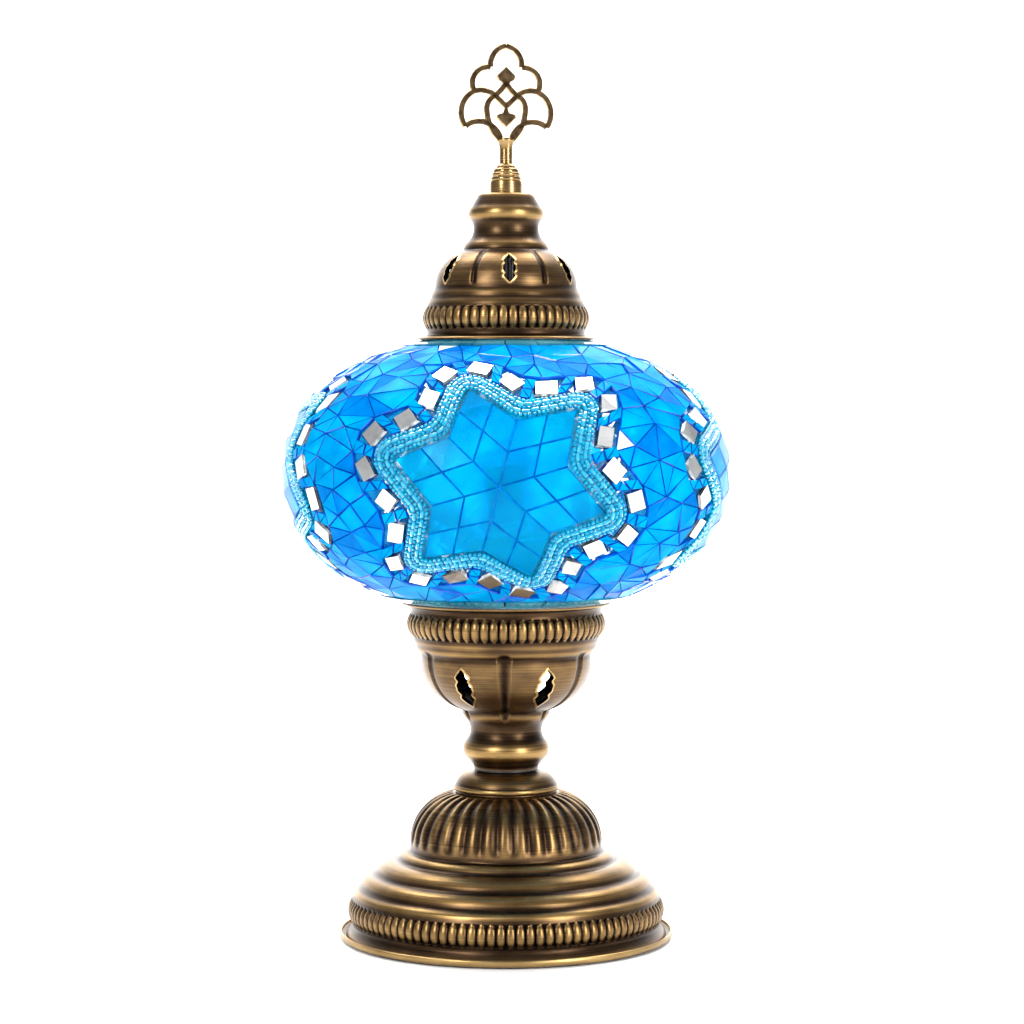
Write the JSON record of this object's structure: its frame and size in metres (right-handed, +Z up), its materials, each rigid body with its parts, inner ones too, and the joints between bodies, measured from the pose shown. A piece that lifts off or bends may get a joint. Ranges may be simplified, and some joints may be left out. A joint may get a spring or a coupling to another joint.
{
  "type": "mosaic glass table lamp",
  "caption": "Table lamp: stepped antique brass base, pierced cup, flattened glass globe covered in blue star mosaic, pierced brass cap and flat openwork finial.",
  "frame": {"origin": "centre of the underside, on the table surface", "axes": "+Z up along the lamp's axis, -Y to the front star medallion, +X to the right seen from the front"},
  "size_m": [0.1812, 0.1812, 0.36],
  "materials": {
    "felt": "matt pressed felt",
    "antique_brass": "antiqued, brushed and lacquered",
    "bright_brass": "polished with dark grooves",
    "dark_brass": "dark patina with rubbed edges",
    "zinc_steel": "zinc plated",
    "black_plastic": "moulded",
    "ceramic_white": "unglazed",
    "contact_brass": "bright",
    "bulb_metal": "nickel plated",
    "white_plastic": "moulded",
    "led_board": "white board with yellow phosphor squares",
    "clear_cover": "clear",
    "clear_rubber": "translucent silicone",
    "clear_glass": "clear blown glass",
    "blue_glass": "flat cut glass with deep blue grout lines",
    "cyan_glass": "flat cut glass",
    "bead_glass": "seed and bugle beads",
    "rim_glass": "flat cut glass",
    "mirror": "silvered bevelled glass"
  },
  "bodies": {
    "base": {"felt_pad": "felt", "base_saucer": "antique_brass", "base_shell": "antique_brass", "base_collar": "antique_brass", "neck_washer": "black_plastic", "stem_pipe": "zinc_steel", "bottom_washer": "zinc_steel", "bottom_nut": "zinc_steel", "cable_bush": "black_plastic", "cup_shell": "antique_brass", "cup_nut": "zinc_steel", "holder_cap": "black_plastic", "holder_skirt": "black_plastic", "holder_ring": "black_plastic", "holder_insulator": "ceramic_white", "screw_contact": "contact_brass", "centre_contact": "contact_brass", "globe_seat": "clear_rubber"},
    "bulb": {"bulb_screw_cap": "bulb_metal", "bulb_tip": "bulb_metal", "bulb_collar": "white_plastic", "led_column": "led_board", "bulb_cover": "clear_cover"},
    "globe": {"globe_glass": "clear_glass", "mosaic_field": "blue_glass", "star_panels": "cyan_glass", "bead_bands": "bead_glass", "mirror_tiles": "mirror", "upper_rim_tiles": "rim_glass", "lower_rim_tiles": "rim_glass", "cap_strap": "zinc_steel", "cap_rod": "zinc_steel", "strap_nuts": "zinc_steel", "cap_gasket": "clear_rubber"},
    "cap": {"cap_shell": "antique_brass"},
    "finial": {"finial_stem": "bright_brass", "finial_ornament": "dark_brass"}
  },
  "joints": [
    {"name": "globe_lift", "type": "slide", "parent": "base", "child": "globe", "axis": [0, 0, 1], "range_m": [0, 0.11]},
    {"name": "cap_lift", "type": "slide", "parent": "globe", "child": "cap", "axis": [0, 0, 1], "range_m": [0, 0.075]},
    {"name": "finial_turn", "type": "hinge", "parent": "cap", "child": "finial", "pos_m": [0, 0, 0.303], "axis": [0, 0, 1], "range_deg": [0, 2520]},
    {"name": "bulb_unscrew", "type": "slide", "parent": "base", "child": "bulb", "axis": [0, 0, 1], "range_m": [0, 0.024]}
  ]
}
